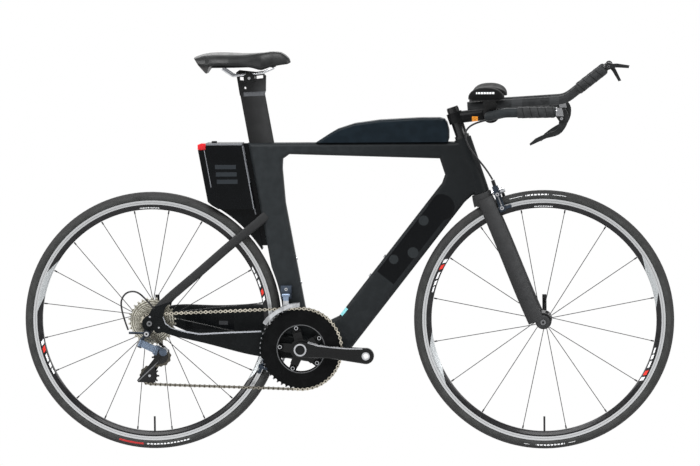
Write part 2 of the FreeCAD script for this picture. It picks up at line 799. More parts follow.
def stays():
    inner = S.rear_hub_width / 2
    drop_y = inner + STAY_DROP / 2
    right = blade([
        (-139.5, -25, 268, 0, 58, 13), (-220, -29, 277, 0, 68, 16), (-300, -42, 286, 0, 48, 14),
        (-380, -55, 297, 4, 25, 12), (-440, -65, 310, 14, 22, 9),
        (REAR_X + 12, -drop_y, AXLE_Z - 3, 30, 26, 7.4)])
    left = blade([
        (-139.5, 25, 285, 0, 66, 13), (-220, 29, 322, 0, 102, 16), (-300, 42, 329, 0, 84, 14),
        (-390, 56, 330, 0, 80, 11), (-440, 65, 337, 0, 66, 9), (REAR_X + 12, drop_y, AXLE_Z + 8, 0, 32, 7.4)])
    chainstays = []
    for shape, y in ((right, -inner - STAY_DROP), (left, inner)):
        disc = Part.makeCylinder(20, STAY_DROP, V(REAR_X, y, AXLE_Z), V(0, 1, 0))
        corners = [V(REAR_X + dx, y, AXLE_Z + dz) for dx, dz in DROPOUT]
        plate = Part.Face(Part.makePolygon(corners + corners[:1])).extrude(V(0, STAY_DROP, 0))
        holes = [Part.makeCylinder(S.axle_radius + S.running_gap, 40, V(REAR_X, y - 16, AXLE_Z), V(0, 1, 0))]
        if y < 0:
            room = SCREW_RADIUS + S.running_gap
            holes += [screw_rod(spot, y - 2, room, STAY_DROP + 4) for spot in SCREW_SPOTS]
        chainstays.append(shape.fuse([disc, plate]).cut(holes))
    seatstay = blade([
        (-206, -14.6, 610, 40, 24, 9.4), (-262, -24, 563, 40, 23.5, 11), (-380, -49, 464, 40, 23, 10),
        (-420, -61, 430.5, 40, 23, 8.5), (-446, -66.5, 408.7, 40, 23, 7.6),
        (REAR_X + 12, -drop_y, AXLE_Z + 24.1, 40, 23, 7.2)])
    low = feature("chainstay_blanks", Part.makeCompound(chainstays))
    high = feature("seatstay_blanks", Part.makeCompound(both_sides(seatstay)))
    lower = keep(cut("chainstays", low, [frame]), "chainstays")
    below = padded("dropout_room", "XZ_Plane", [[
        (REAR_X - 38.3, AXLE_Z + 28), (REAR_X + 103.6, AXLE_Z + 70), (REAR_X + 103.6, AXLE_Z - 80),
        (REAR_X - 38.3, AXLE_Z - 80)]], [], 200)
    keep(cut("seatstays", high, [frame, below]), "seatstays")
    return lower


chainstays = stays()
hanger_y = -S.rear_hub_width / 2 - STAY_DROP / 2
plate = padded("hanger_plate", "XZ_Plane", [[
    (REAR_X + 14, AXLE_Z - 12), (REAR_X - 14, AXLE_Z - 4), (S.hanger_x - 9, S.hanger_z + 2),
    (S.hanger_x - 4, S.hanger_z - 8.5), (S.hanger_x + 6, S.hanger_z - 8)]],
    [(S.hanger_x, S.hanger_z, 5)], STAY_DROP - 0.4, (0, hanger_y, 0))
keep(cut("derailleur_hanger", plate, [chainstays]), "derailleur_hanger")


def bearing_ring(name, up):
    outer = steer_rod(name, S.headset_ring_radius, up, S.headset_ring_height - 0.2)
    bore = steer_rod(name + "_bore", S.steerer_radius + S.running_gap, up - 1, S.headset_ring_height + 2)
    return cut(name + "_ring", outer, [bore])


def bb_cup(name, y):
    return turned(name, [
        (S.spindle_radius + S.running_gap, y), (S.bb_bore_radius - S.running_gap, y),
        (S.bb_bore_radius - S.running_gap, y + S.cup_width),
        (S.spindle_radius + S.running_gap, y + S.cup_width)],
        S.bb_x, S.bb_z)


half_shell = S.bb_shell_width / 2
keep(group("bearings", [
    bearing_ring("headset_low", 1.1),
    bearing_ring("headset_high", S.head_tube_length + 1.1 - S.headset_ring_height),
    bb_cup("cup_right", -half_shell), bb_cup("cup_left", half_shell - S.cup_width)]), "bearings")

bolts = []
for spot in bottle_spots():
    head = rod("bottle_head", 4.5, *bolt_point(spot, 0.1), 3, bolt_way(spot[2]))
    shank = rod("bottle_shank", 2.5, *bolt_point(spot, -12), 14, bolt_way(spot[2]))
    bolts.append(fuse("bottle_bolt", [head, shank]))
screw_y = -S.rear_hub_width / 2 - STAY_DROP - 0.6
bolts += [feature("dropout_screw", screw_rod(spot, screw_y, SCREW_RADIUS, 7)) for spot in SCREW_SPOTS]
keep(group("bottle_bolts", bolts), "bottle_bolts")


# Seat post and saddle

HEAD_WIDTH = 16
shaft = feature("post_shaft", post_blade(S.top_tube_z - S.post_insert, S.post_top, 0))
top_rear = at_height(S.post_x, 808, 180 - S.post_angle, S.post_top) - S.post_depth / 2
top_front = top_rear + S.post_depth
post_head = padded("post_head", "XZ_Plane", [
    [(top_rear + 1, S.post_top - 8), (top_front - 1, S.post_top - 8), (top_front + 2.5, S.post_top + 4),
     (top_front + 3.5, S.clamp_z + 5), (top_front - 5, S.clamp_z + 13), (S.clamp_x - 28, S.clamp_z + 20),
     (S.clamp_x - 36, S.clamp_z + 14)],
    [(S.clamp_x - 27, S.clamp_z - 6), (S.clamp_x - 15, S.clamp_z - 7), (S.clamp_x - 15, S.clamp_z + 2),
     (S.clamp_x - 27, S.clamp_z + 3)],
    [(S.clamp_x + 15, S.clamp_z - 3), (S.clamp_x + 34, S.clamp_z - 1), (S.clamp_x + 34, S.clamp_z + 7),
     (S.clamp_x + 15, S.clamp_z + 5)]],
    [(S.clamp_x, S.clamp_z, 4), (S.clamp_x - 13, S.clamp_z - 26, 3.2)], HEAD_WIDTH)
keep(fuse("seatpost", [shaft, post_head]), "seatpost")


def crowned(sections):
    """A soft form lofted along X through (x, half width, underside, shoulder, crown, y) sections."""
    wires = []
    for x, half, under, shoulder, crown, y in sections:
        a, b = V(x, y - half, under), V(x, y + half, under)
        c, d = V(x, y + half, shoulder), V(x, y - half, shoulder)
        edges = [Part.makeLine(a, b), Part.makeLine(b, c), Part.Arc(c, V(x, y, crown), d).toShape(),
                 Part.makeLine(d, a)]
        wires.append(Part.Wire(edges))
    return loft(wires)


def saddle_sections():
    tail, length = S.saddle_tail_x, S.saddle_length
    wide, nose = S.saddle_width / 2, S.saddle_nose_width / 2
    top, under = S.saddle_top, S.saddle_under
    spots = [(0, 0.62, 0, 10, 15, 23), (0.1, 0.9, 0, 1, 16, 28), (0.24, 1, 0, 0, 16, 30),
             (0.42, 0.88, 0, 0, 16, 31),
             (0.58, 0.3, 1, 0, 16, 32), (0.74, 0, 1, 0, 17, 32), (0.9, 0, 0.86, 0.5, 14, 28),
             (1, 0, 0.45, 4, 8, 14)]
    out = []
    for share, w, n, low, shoulder, crown in spots:
        half = wide * w + nose * n
        out.append((tail + length * share, half, under + low, under + shoulder, top - 31 + crown, 0))
    return out


def saddle_cover():
    """The padded top with the two tail tips that hang at its rear corners."""
    tail, under = float(S.saddle_tail_x), float(S.saddle_under)
    tip = [(1, 20), (13, -5), (26, -21), (33, -14), (35, 1), (46, 5), (46, 12), (12, 20)]
    corners = [V(tail + x, 26, under + z) for x, z in tip]
    hook = Part.Face(Part.makePolygon(corners + corners[:1])).extrude(V(0, 20, 0))
    return crowned(saddle_sections()).fuse(both_sides(hook))


keep(feature("saddle_cover", saddle_cover()), "saddle_cover")
base_top = S.saddle_under - S.seat_gap
BASE_THICK = 4.6
rear_x = S.saddle_tail_x + 44
nose_x = S.saddle_tail_x + S.saddle_length - 38
base = padded("saddle_shell", "XY_Plane", [[
    (rear_x, -48), (rear_x + 60, -44), (nose_x - 50, -17), (nose_x, -14), (nose_x, 14), (nose_x - 50, 17),
    (rear_x + 60, 44), (rear_x, 48)]], [], BASE_THICK, (0, 0, base_top - BASE_THICK / 2))
rail_low = S.clamp_z + 6
rail_top = base_top - BASE_THICK - 3.2


def rail_points(y):
    return [(S.clamp_x - 70, y, rail_top), (S.clamp_x - 43, y, rail_low), (S.clamp_x + 33, y, rail_low + 7),
            (S.clamp_x + 60, y, rail_top)]


rails = feature("saddle_rails", Part.makeCompound(
    [pipe(rail_points(y), 12, S.rail_radius) for y in (S.rail_y, -S.rail_y)]))
keep(group("saddle_frame", [base, rails]), "saddle_frame")


def saddle_clamp():
    """Two cradles that grip the rails, on one bolt through the post head."""
    pieces = []
    inner = HEAD_WIDTH / 2 + 0.1
    for side in (1, -1):
        cradle = Part.makeCylinder(14.5, 20, V(S.clamp_x, inner * side, S.clamp_z), V(0, side, 0))
        hole = Part.makeCylinder(4, 30, V(S.clamp_x, 0, S.clamp_z), V(0, side, 0))
        groove = pipe(rail_points(S.rail_y * side), 12, S.rail_radius + S.running_gap)
        pieces.append(cradle.cut([hole, groove]))
    bolt = Part.makeCylinder(3.9, 62, V(S.clamp_x, -31, S.clamp_z), V(0, 1, 0))
    return Part.makeCompound(pieces + [bolt])


keep(feature("saddle_clamp", saddle_clamp()), "saddle_clamp")


# Storage box behind the seat tube, and the box on the top tube

def box_front(z):
    return seat_rear(z) - S.rail_strip


BOX_REAR = -381
LIGHT_FRONT = -361
LIGHT_LOW = 779
top_z = S.storage_top
upper = padded("storage_upper", "XZ_Plane", [[
    (box_front(top_z), top_z), (LIGHT_FRONT, top_z), (LIGHT_FRONT, LIGHT_LOW), (BOX_REAR, LIGHT_LOW),
    (BOX_REAR + 24, 645), (BOX_REAR + 45, 626), (box_front(626), 626)]], [], S.storage_width)
wedge = padded("storage_wedge", "XZ_Plane", [[
    (box_front(632), 632), (BOX_REAR + 40, 632), (BOX_REAR + 110, 540), (box_front(522) - 4, 516),
    (box_front(522), 522)]], [], 18)
inside = padded("storage_inside", "XZ_Plane", [[
    (box_front(top_z + 8) - 3, top_z + 8), (LIGHT_FRONT - 3, top_z + 8), (LIGHT_FRONT - 3, LIGHT_LOW - 5),
    (BOX_REAR + 4, LIGHT_LOW - 5), (BOX_REAR + 26, 656), (box_front(656) - 3, 656)]], [], S.storage_width - 6)
tyre_room = rod("storage_room", S.tyre_radius + 5.5, REAR_X, -60, AXLE_Z, 120)
shell = cut("storage_shell", fuse("storage_blank", [upper, wedge]), [inside, tyre_room])
strip = padded("storage_rail", "XZ_Plane", [[
    (box_front(795), 795), (box_front(530), 530), (seat_rear(530), 530), (seat_rear(795), 795)]], [], 13)
keep(group("storage_box", [shell, strip]), "storage_box")
lid_front = box_front(top_z) - 1
lid = padded("lid_plate", "XZ_Plane", [[
    (LIGHT_FRONT + 0.5, top_z + 0.2), (lid_front, top_z + 0.2), (lid_front, top_z + 0.2 + S.lid_thick),
    (LIGHT_FRONT + 0.5, top_z + 0.2 + S.lid_thick)]], [], S.storage_width)
knob = rod("lid_knob", 7, LIGHT_FRONT + 20, 0, top_z + S.lid_thick, 4.5, V(0, 0, 1))
keep(fuse("storage_lid", [lid, knob]), "storage_lid")
light = padded("tail_light", "XZ_Plane", [[
    (LIGHT_FRONT - 0.1, LIGHT_LOW + 0.2), (LIGHT_FRONT - 0.1, top_z + 5), (LIGHT_FRONT - 12, top_z + 5.5),
    (BOX_REAR - 2, top_z + 2), (BOX_REAR - 2, LIGHT_LOW + 0.2)]], [], 30)
keep(light, "tail_light")
seat = S.top_tube_z + 0.1
bag = padded("bag_block", "XZ_Plane", [[
    (-77, seat), (-41, seat + 23), (-20, seat + 35), (24, seat + 49), (89, seat + 57.5), (192, seat + 62.5),
    (243, seat + 62.5), (255, seat + 59), (262, seat + 50), (267, seat + 30), (267, seat + 9),
    (264, seat)]], [],
    S.box_width)
bag_half = float(S.box_width) / 2


def bag_edge(edge):
    box = edge.BoundBox
    return box.YLength < 0.01 and abs(abs(box.YMin) - bag_half) < 0.01 and box.ZMax > float(seat) + 0.5


keep(rounded(bag, 8, bag_edge), "top_tube_box")


# Cranks, chainrings and cassette

CRANK_TURN = FreeCAD.Rotation(V(0, 1, 0), -float(S.crank_angle))


def spin(shape):
    """Set a shape made round the origin on the crank axis, turned to the crank's angle."""
    shape = shape.copy()
    shape.Placement = FreeCAD.Placement(V(S.bb_x, 0, S.bb_z), CRANK_TURN)
    return shape


def y_rod(radius, x, z, y0, y1):
    return Part.makeCylinder(float(radius), abs(float(y1 - y0)), V(x, min(y0, y1), z), V(0, 1, 0))


def arm_outline(way, y, inset):
    """Side view of the arm's web: wide at boss and pedal eye, narrow between them."""
    boss, tip, waist = S.crank_boss_radius - inset, S.crank_tip_radius - inset, S.crank_waist - inset
    reach, middle = way * S.crank_length, way * S.crank_length * 0.44
    corners = [V(0, y, -boss), V(middle, y, -waist), V(reach, y, -tip), V(reach, y, tip), V(middle, y, waist),
               V(0, y, boss)]
    return Part.makePolygon(corners + corners[:1])


def crank_arm(way):
    """A tapering arm along X from the crank axis, with a bevel round its outer face."""
    out = V(0, -way, 0)
    near, bevel = -way * S.crank_inner_y, S.crank_bevel
    edge = near - way * (S.crank_thick - bevel)
    face = near - way * S.crank_thick
    flat = [Part.Face(arm_outline(way, near, 0)).extrude(out * float(S.crank_thick - bevel)),
            Part.makeLoft([arm_outline(way, edge, 0), arm_outline(way, face, bevel)], True, True)]
    for radius, x in ((S.crank_boss_radius, 0), (S.crank_tip_radius, way * S.crank_length)):
        flat.append(y_rod(radius, x, 0, near, edge))
        flat.append(Part.makeCone(float(radius), float(radius - bevel), float(bevel), V(x, edge, 0), out))
    arm = flat[0].fuse(flat[1:])
    return arm.cut(y_rod(S.pedal_hole_radius, way * S.crank_length, 0, near, face + (face - near)))


RING_Y = -S.big_ring_y
TAB_IN = RING_Y + S.ring_thick / 2 + S.spider_thick
SMALL_Y = TAB_IN + S.ring_thick / 2
BOLT_ANGLES = [math.radians(36 + 72 * k) for k in range(5)]


def ring_bolt_rods(radius):
    circle = S.bolt_circle_radius
    spots = [(circle * math.cos(a), circle * math.sin(a)) for a in BOLT_ANGLES]
    return [y_rod(radius, x, z, RING_Y - 8, SMALL_Y + 8) for x, z in spots]


def spider():
    """Boss beside the shell, five arms inside the big ring's windows and a tab behind each of its bolts."""
    ring_back = RING_Y + S.ring_thick / 2
    out = [y_rod(27, 0, 0, -S.crank_inner_y + S.running_gap, -S.bb_shell_width / 2 - 0.6)]
    arms = [(RING_Y - 7, ring_back, 0, S.bolt_circle_radius - 11, 13, 11),
            (ring_back, TAB_IN, S.bb_shell_radius + 3, S.bolt_circle_radius + 7, 11, 9)]
    for a in BOLT_ANGLES:
        way, side = V(math.cos(a), 0, math.sin(a)), V(-math.sin(a), 0, math.cos(a))
        for low, high, near, far, root, width in arms:
            first, last = way * float(near), way * float(far)
            corners = [first - side * root, last - side * width, last + side * width, first + side * root]
            face = Part.Face(Part.makePolygon(corners + corners[:1]))
            face.translate(V(0, low, 0))
            out.append(face.extrude(V(0, high - low, 0)))
    return out


def crank_arms():
    outer = S.crank_inner_y + S.crank_thick
    right = crank_arm(1)
    spindle = y_rod(S.spindle_radius, 0, 0, -outer + 2, outer - 2)
    bore = y_rod(S.spindle_radius + S.running_gap, 0, 0, -outer - 5, outer + 5)
    left = crank_arm(-1)
    first, *others = spider()
    star = first.fuse(others).cut(ring_bolt_rods(S.ring_bolt_radius + 0.05))
    pieces = [piece.cut(bore).removeSplitter() for piece in (right, star, left)]
    return Part.makeCompound([spin(piece) for piece in pieces + [spindle]])


keep(feature("crank_arms", crank_arms()), "crank_arms")


# The chain: round the big ring, the two pulleys and the small cog

def directed_tangent(a, b):
    """Leaving and meeting points of the straight run between two turning circles (x, z, signed radius)."""
    dx, dz = b[0] - a[0], b[1] - a[1]
    turn = math.atan2(dz, dx) + math.acos((b[2] - a[2]) / math.hypot(dx, dz))
    nx, nz = math.cos(turn), math.sin(turn)
    return (a[0] - nx * a[2], a[1] - nz * a[2]), (b[0] - nx * b[2], b[1] - nz * b[2])


def chain_path(cage_turn):
    """Stretches of the chain: each its length in links and a function from share to a point."""
    guide = (float(S.guide_x), float(S.guide_z))
    tension = (guide[0] + S.cage_length * math.cos(cage_turn), guide[1] + S.cage_length * math.sin(cage_turn))
    wheels = [(float(S.bb_x), float(S.bb_z), -1, S.big_ring_teeth, RING_Y),
              (tension[0], tension[1], -1, S.pulley_teeth, -S.cog_y), (*guide, 1, S.pulley_teeth, -S.cog_y),
              (float(REAR_X), float(AXLE_Z), -1, 11, -S.cog_y)]
    circles = [(x, z, sign * float(pitch_radius(teeth))) for x, z, sign, teeth, y in wheels]
    runs = [directed_tangent(circles[i], circles[(i + 1) % 4]) for i in range(4)]
    stretches = []
    for i in range(4):
        x, z, sign, teeth, y = wheels[i]
        met, left = runs[i - 1][1], runs[i][0]
        start = math.atan2(met[1] - z, met[0] - x)
        swept = (math.atan2(left[1] - z, left[0] - x) - start) * sign % (2 * math.pi)
        stretches.append((swept * teeth / (2 * math.pi), arc_place(circles[i], start, sign * swept, y)))
        (x0, z0), (x1, z1) = runs[i]
        length = math.hypot(x1 - x0, z1 - z0) / S.chain_pitch
        stretches.append((length, run_place(runs[i], y, wheels[(i + 1) % 4][4])))
    return stretches, tension


def arc_place(circle, start, swept, y):
    x, z, radius = circle

    def at(share):
        angle = start + swept * share
        return V(x + abs(radius) * math.cos(angle), y, z + abs(radius) * math.sin(angle))
    return at


def run_place(run, y0, y1):
    (x0, z0), (x1, z1) = run

    def at(share):
        eased = min(max((share - 0.12) / 0.76, 0), 1)
        ease = eased * eased * (3 - 2 * eased)
        return V(x0 + (x1 - x0) * share, y0 + (y1 - y0) * ease, z0 + (z1 - z0) * share)
    return at


def links_in(stretches):
    return sum(length for length, at in stretches)


def solve_cage():
    """Turn the cage until the chain is a whole, even number of links."""
    rest = math.radians(-115)
    links = 2 * round(float(links_in(chain_path(rest)[0])) / 2)
    low, high = rest - 0.5, rest + 0.5
    for step in range(60):
        turn = (low + high) / 2
        if links_in(chain_path(turn)[0]) > links:
            low = turn
        else:
            high = turn
    return turn, links


CAGE_TURN, LINKS = solve_cage()
STRETCHES, TENSION = chain_path(CAGE_TURN)
print("chain links", LINKS, "cage turn", math.degrees(CAGE_TURN), "error", float(links_in(STRETCHES)) - LINKS)


def roller_places():
    places = []
    for i in range(LINKS):
        left = float(i)
        for length, at in STRETCHES:
            if left <= length:
                places.append(at(left / length))
                break
            left -= length
    return places


ROLLERS = roller_places()


def phase_on(x, z, radius):
    """The angle of a roller that sits on a sprocket."""
    for place_ in ROLLERS:
        if abs(math.hypot(place_.x - x, place_.z - z) - radius) < 0.01:
            return math.atan2(place_.z - z, place_.x - x)
    return 0.0


def plate_outline(y):
    """A link plate: round ends and a narrow waist."""
    pitch, radius = float(S.chain_pitch), 4.1
    dx, dz = radius * math.cos(0.9), radius * math.sin(0.9)
    high, low = [V(dx, y, dz), V(pitch - dx, y, dz)], [V(pitch - dx, y, -dz), V(dx, y, -dz)]
    return Part.Wire([
        Part.Arc(high[0], V(pitch / 2, y, 2.5), high[1]).toShape(),
        Part.Arc(high[1], V(pitch + radius, y, 0), low[0]).toShape(),
        Part.Arc(low[0], V(pitch / 2, y, -2.5), low[1]).toShape(),
        Part.Arc(low[1], V(-radius, y, 0), high[0]).toShape()])


def chain_link(inner):
    """One link lying along X from the origin: plates and pins, or plates and bored rollers."""
    pitch = float(S.chain_pitch)
    half = S.chain_width / 2
    face = half - 0.8 if not inner else half - 1.65
    plate_thick = 0.75
    parts = []
    for y in (face, -face - plate_thick):
        parts.append(Part.Face(plate_outline(y)).extrude(V(0, plate_thick, 0)))
    size = S.roller_radius if inner else 1.7
    for x in (0, pitch):
        parts.append(y_rod(size, x, 0, -face - 0.2, face + 0.2))
    solid = parts[0].fuse(parts[1:])
    if inner:
        solid = solid.cut([y_rod(2, x, 0, -4, 4) for x in (0, pitch)])
    return solid


def chain():
    shapes = [chain_link(False), chain_link(True)]
    links = []
    for i in range(LINKS):
        a, b = ROLLERS[i], ROLLERS[(i + 1) % LINKS]
        way = V(b - a).normalize()
        side = (V(0, 1, 0) - way * way.y).normalize()
        up = way.cross(side)
        link = shapes[i % 2].copy()
        slack = ((b - a).Length - float(S.chain_pitch)) / 2
        base = a + way * slack
        link.Placement = FreeCAD.Placement(base, FreeCAD.Rotation(way, side, up, "XYZ"))
        links.append(link)
    return Part.makeCompound(links)


keep(feature("chain", chain()), "chain")


def chainring(teeth, y, phase, bore):
    """A toothed ring, thicker inside its teeth, with a round tab for each bolt."""
    half = S.ring_thick / 2
    plate = toothed_plate(teeth, 1.7, bore, phase)
    thick = y_rod(pitch_radius(teeth) - 7, 0, 0, -half, half).cut(y_rod(bore, 0, 0, -5, 5))
    circle = S.bolt_circle_radius
    tabs = [y_rod(9, circle * math.cos(a), circle * math.sin(a), -half, half) for a in BOLT_ANGLES]
    plate = plate.fuse([thick] + tabs)
    plate.translate(V(0, y, 0))
    return plate.removeSplitter()


big_phase = phase_on(S.bb_x, S.bb_z, float(pitch_radius(S.big_ring_teeth))) - math.radians(S.crank_angle)
rings = [chainring(S.big_ring_teeth, RING_Y, big_phase, 61), chainring(S.small_ring_teeth, SMALL_Y, 0, 58)]
rings = [spin(ring.cut(ring_bolt_rods(S.ring_bolt_radius + 0.05))) for ring in rings]
keep(feature("chainrings", Part.makeCompound(rings)), "chainrings")
bolt_out, bolt_in = RING_Y - S.ring_thick / 2 - 1, SMALL_Y + S.ring_thick / 2 + 0.6
ring_bolts = []
for a in BOLT_ANGLES:
    x, z = S.bolt_circle_radius * math.cos(a), S.bolt_circle_radius * math.sin(a)
    socket = y_rod(2.6, x, z, bolt_out - 1, bolt_out + 3)
    bolt = y_rod(S.ring_bolt_radius, x, z, bolt_out, bolt_in).cut(socket)
    ring_bolts.append(spin(bolt))
cap = y_rod(16.3, 0, 0, -S.crank_inner_y - S.crank_thick - 1.4, -S.crank_inner_y - S.crank_thick - 0.1)
ring_bolts.append(spin(cap.cut(y_rod(12.4, 0, 0, -90, 0))))
keep(feature("chainring_bolts", Part.makeCompound(ring_bolts)), "chainring_bolts")

COGS = [11, 12, 13, 14, 15, 17, 19, 21, 24, 27, 30]


def cassette():
    pieces = []
    centre = V(REAR_X, 0, AXLE_Z)
    small_phase = phase_on(REAR_X, AXLE_Z, float(pitch_radius(11)))
    for i, teeth in enumerate(COGS):
        cog = toothed_plate(teeth, S.cog_thick, S.freehub_radius + S.running_gap,
                            small_phase if i == 0 else 0)
        cog.translate(centre + V(0, S.cog_spacing * i - S.cog_y, 0))
        pieces.append(cog)
    end = -S.cog_y - S.cog_thick / 2 - 0.1
    inner = -S.rear_right_flange_y - 5.4
    body = y_rod(S.freehub_radius, REAR_X, AXLE_Z, end - 1, inner)
    ring = y_rod(S.freehub_radius + 1.6, REAR_X, AXLE_Z, end - 2.4, end)
    body = body.fuse(ring).cut(y_rod(S.axle_radius + 4.5, REAR_X, AXLE_Z, end - 4, inner + 2))
    liner = y_rod(S.axle_radius + 4.5, REAR_X, AXLE_Z, end + 4, inner)
    liner = liner.cut(y_rod(S.axle_radius + S.running_gap, REAR_X, AXLE_Z, end, inner + 2))
    pieces.append(body.fuse(liner).removeSplitter())
    return Part.makeCompound(pieces)


keep(feature("cassette", cassette()), "cassette")


# Rear mech: knuckle on the hanger, swinging link, body, cage and pulleys

LINK_WAY = V(0.931, 0, -0.364)
LINK_AXIS = V(0.364, 0, 0.931)
LINK_REACH = 49
swing = math.radians(S.mech_swing)
KNUCKLE_PIN = V(S.hanger_x - 16, -S.rear_hub_width / 2 - 11, S.hanger_z - 24)
BODY_PIN = KNUCKLE_PIN + LINK_WAY * (LINK_REACH * math.cos(swing)) - V(0, LINK_REACH * math.sin(swing), 0)
CAGE_PIN = V(S.guide_x + 10, 0, S.guide_z + 15)
EYE = 9


def bar(a, b, radius):
    return Part.makeCylinder(radius, (b - a).Length, a, b - a)


def fork_ears(pin):
    """Two ears above and below a link's eye, joined by the hinge pin."""
    up = pin + LINK_AXIS * (EYE + 0.3)
    low = pin - LINK_AXIS * (EYE + 3.3)
    return [Part.makeCylinder(6, 3, up, LINK_AXIS), Part.makeCylinder(6, 3, low, LINK_AXIS),
            Part.makeCylinder(2.4, 2 * EYE + 4, pin - LINK_AXIS * (EYE + 2), LINK_AXIS)]


def rear_mech():
    side = -S.rear_hub_width / 2 - STAY_DROP
    bolt = V(S.hanger_x, side - 0.3, S.hanger_z)
    boss = Part.makeCylinder(9, 12, bolt, V(0, -1, 0))
    pin = Part.makeCylinder(4.95, 8.2, bolt + V(0, -0.2, 0), V(0, 1, 0))
    ear = KNUCKLE_PIN + LINK_AXIS * (EYE + 1.8)
    neck = bar(bolt + V(0, -6, 0), ear, 4.5)
    stop = bar(bolt + V(-4, -7, 2), V(S.hanger_x - 46, side - 8, S.hanger_z + 3), 3.2)
    knuckle = boss.fuse([pin, neck, stop] + fork_ears(KNUCKLE_PIN))
    knuckle = knuckle.cut(Part.makeCylinder(6.3, 2 * EYE + 0.3, KNUCKLE_PIN - LINK_AXIS * (EYE + 0.15),
                                            LINK_AXIS))
    knuckle = knuckle.fuse(fork_ears(KNUCKLE_PIN)[2])
    keep(feature("rear_mech_knuckle", knuckle), "rear_mech_knuckle")
    eyes = [Part.makeCylinder(6, 2 * EYE, p - LINK_AXIS * EYE, LINK_AXIS) for p in (KNUCKLE_PIN, BODY_PIN)]
    way = V(BODY_PIN - KNUCKLE_PIN).normalize()
    web_side = way.cross(LINK_AXIS) * 3
    corners = [KNUCKLE_PIN + web_side - LINK_AXIS * EYE, KNUCKLE_PIN - web_side - LINK_AXIS * EYE,
               KNUCKLE_PIN - web_side + LINK_AXIS * EYE, KNUCKLE_PIN + web_side + LINK_AXIS * EYE]
    web = Part.Face(Part.makePolygon(corners + corners[:1])).extrude(BODY_PIN - KNUCKLE_PIN)
    holes = [Part.makeCylinder(2.45, 40, p - LINK_AXIS * 20, LINK_AXIS) for p in (KNUCKLE_PIN, BODY_PIN)]
    keep(feature("rear_mech_link", web.fuse(eyes).cut(holes)), "rear_mech_link")
    cage_out = -S.cog_y - 5.2
    pivot = V(CAGE_PIN.x, cage_out - 0.4, CAGE_PIN.z)
    barrel = Part.makeCylinder(10, BODY_PIN.y * -1 + 4 + cage_out - 0.4, pivot, V(0, -1, 0))
    stub = Part.makeCylinder(4, 1.7, pivot + V(0, -0.1, 0), V(0, 1, 0))
    joint = BODY_PIN + LINK_AXIS * (EYE + 1.8)
    arm = bar(joint, V(CAGE_PIN.x, BODY_PIN.y + 1, CAGE_PIN.z + 3), 4)
    body = barrel.fuse([stub, arm] + fork_ears(BODY_PIN))
    body = body.cut(Part.makeCylinder(6.3, 2 * EYE + 0.3, BODY_PIN - LINK_AXIS * (EYE + 0.15), LINK_AXIS))
    body = body.fuse(fork_ears(BODY_PIN)[2])
    keep(feature("rear_mech_body", body), "rear_mech_body")
    mech_cage(cage_out)


def mech_cage(outside):
    guide = V(S.guide_x, 0, S.guide_z)
    tension = V(TENSION[0], 0, TENSION[1])
    way = V(tension - guide).normalize()
    side = V(-way.z, 0, way.x)
    plates = []
    inside = -S.cog_y + 3.9
    for y0 in (outside, inside):
        corners = [guide - way * 9 - side * 9, guide - way * 9 + side * 9, tension + way * 9 + side * 7,
                   tension + way * 9 - side * 7]
        if y0 == outside:
            corners = [guide + V(-9, 0, 6), CAGE_PIN + V(-5, 0, 7), CAGE_PIN + V(8, 0, -1),
                       tension + V(15, 0, 28),
                       tension + V(14, 0, 16), tension + V(15, 0, -18), tension + V(-30, 0, -17),
                       tension + V(-33, 0, -12)]
        face = Part.Face(Part.makePolygon(corners + corners[:1]))
        face.translate(V(0, y0, 0))
        plates.append(face.extrude(V(0, 1.3, 0)))
    boss = Part.makeCylinder(8.5, 1.3, V(CAGE_PIN.x, outside, CAGE_PIN.z), V(0, 1, 0))
    axles = [y_rod(2.5, p.x, p.z, outside, inside + 1.3) for p in (guide, tension)]
    cage = plates[0].fuse([plates[1], boss] + axles)
    cage = cage.cut(y_rod(4.05, CAGE_PIN.x, CAGE_PIN.z, outside - 1, outside + 4))
    keep(feature("rear_mech_cage", cage.removeSplitter()), "rear_mech_cage")
    for label, p in (("guide_pulley", guide), ("tension_pulley", tension)):
        phase = phase_on(p.x, p.z, float(pitch_radius(S.pulley_teeth)))
        pulley = toothed_plate(S.pulley_teeth, 2, 2.55, phase)
        hub_ring = y_rod(6, 0, 0, -2.4, 2.4).cut(y_rod(2.55, 0, 0, -4, 4))
        pulley = pulley.fuse(hub_ring)
        pulley.translate(V(p.x, -S.cog_y, p.z))
        keep(feature(label, pulley), label)


rear_mech()
stay_y = -S.rear_hub_width / 2 - STAY_DROP - 2.45
shift_route = [(-494, stay_y, 372), (-515, stay_y - 1, 398), (-541, stay_y - 4, 421), (-572, stay_y - 5, 414),
               (-584, stay_y - 5, 378), (S.hanger_x - 48, stay_y - 5, S.hanger_z + 10)]
keep(feature("shift_housing", pipe(shift_route, 13, 2.3)), "shift_housing")


# Front mech

FM_PIN_Y = -41.5
FM_PIN_Z = 404


def box(x0, x1, y0, y1, z0, z1):
    return Part.makeBox(x1 - x0, y1 - y0, z1 - z0, V(x0, y0, z0))


def ring_sector(inner, outer, start, end, y, thick):
    """A curved plate round the crank axis."""
    def at(radius, angle):
        turn = math.radians(angle)
        return V(S.bb_x + radius * math.cos(turn), y, S.bb_z + radius * math.sin(turn))
    middle = (start + end) / 2
    edges = [Part.Arc(at(inner, start), at(inner, middle), at(inner, end)).toShape(),
             Part.makeLine(at(inner, end), at(outer, end)),
             Part.Arc(at(outer, end), at(outer, middle), at(outer, start)).toShape(),
             Part.makeLine(at(outer, start), at(inner, start))]
    return Part.Face(Part.Wire(edges)).extrude(V(0, thick, 0))


